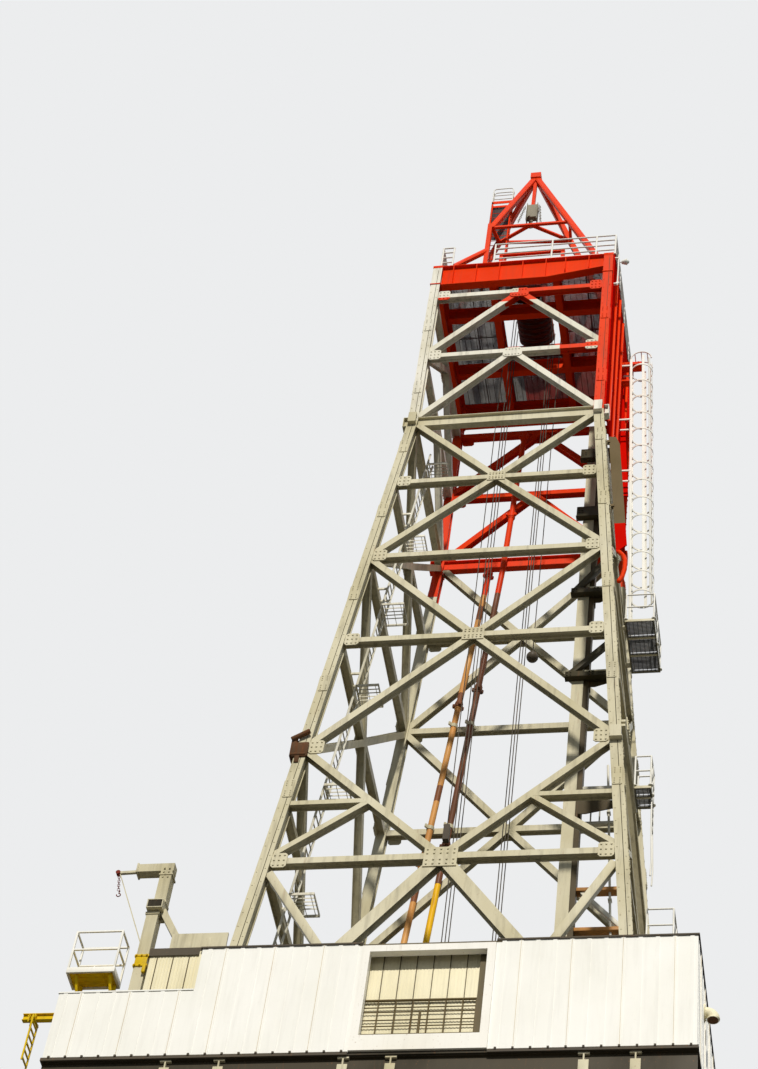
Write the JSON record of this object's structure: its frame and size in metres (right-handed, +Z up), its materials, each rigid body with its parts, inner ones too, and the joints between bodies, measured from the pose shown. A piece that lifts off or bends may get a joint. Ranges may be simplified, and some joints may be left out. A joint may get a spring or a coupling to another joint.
{
  "type": "half-scale land drilling rig",
  "caption": "Half-scale land drilling rig: walled drill floor on a steel substructure under a tapered square lattice derrick with a red crown and gin pole.",
  "frame": {"origin": "on the ground under the centre of the whole rig's box; the derrick's axis is 0.69 m to the right of it", "axes": "+X to the right seen from the V-door side, +Y away from the V-door side, +Z up"},
  "size_m": [7.7645, 5.68, 26.01],
  "materials": {
    "steel_beige": "weathered gloss paint",
    "steel_white": "weathered gloss paint",
    "steel_red": "gloss paint",
    "sheet_white": "satin coated sheet",
    "sheet_cream": "satin coated sheet",
    "deck_steel": "worn dark paint",
    "rail_white": "gloss paint",
    "rail_brown": "worn paint",
    "basket_yellow": "gloss paint",
    "grating_red": "galvanised grating over-painted",
    "sheave_steel": "worn paint",
    "pipe_orange": "rust stained paint",
    "line_steel": "greased steel rope"
  },
  "bodies": {
    "root": {"substructure_left": "steel_beige", "substructure_right": "steel_beige", "substructure_spreaders": "steel_beige", "floor_beams": "steel_beige", "leg_front_right": "steel_beige", "leg_rear_left": "steel_beige", "leg_rear_right": "steel_beige", "bracing_front": "steel_beige", "bracing_rear": "steel_beige", "bracing_left": "steel_beige", "bracing_right": "steel_beige", "belt_beams": "steel_beige", "davit_post": "steel_beige", "davit_arm": "steel_beige", "guide_column": "steel_beige", "leg_front_left": "steel_white", "neck_front": "steel_white", "neck_left": "steel_white", "inner_ladder": "steel_white", "side_platforms": "steel_white", "neck_rear": "steel_red", "neck_right": "steel_red", "crown_frame": "steel_red", "gin_pole": "steel_red", "crown_tower": "steel_red", "right_cladding": "steel_red", "windwall_front_left": "sheet_white", "windwall_front_right": "sheet_white", "windwall_low": "sheet_white", "windwall_right": "sheet_white", "windwall_rear": "sheet_white", "windwall_left": "sheet_cream", "inner_wall": "sheet_cream", "v_door_frame": "sheet_cream", "vent_cowl": "sheet_cream", "drill_floor": "deck_steel", "crown_handrail": "rail_white", "caged_ladder": "rail_white", "v_door_rail": "rail_brown", "side_basket": "basket_yellow", "stub_beam": "basket_yellow", "crown_floor": "grating_red", "crown_block": "sheave_steel", "standpipes": "pipe_orange", "drilling_lines": "line_steel"}
  },
  "joints": []
}
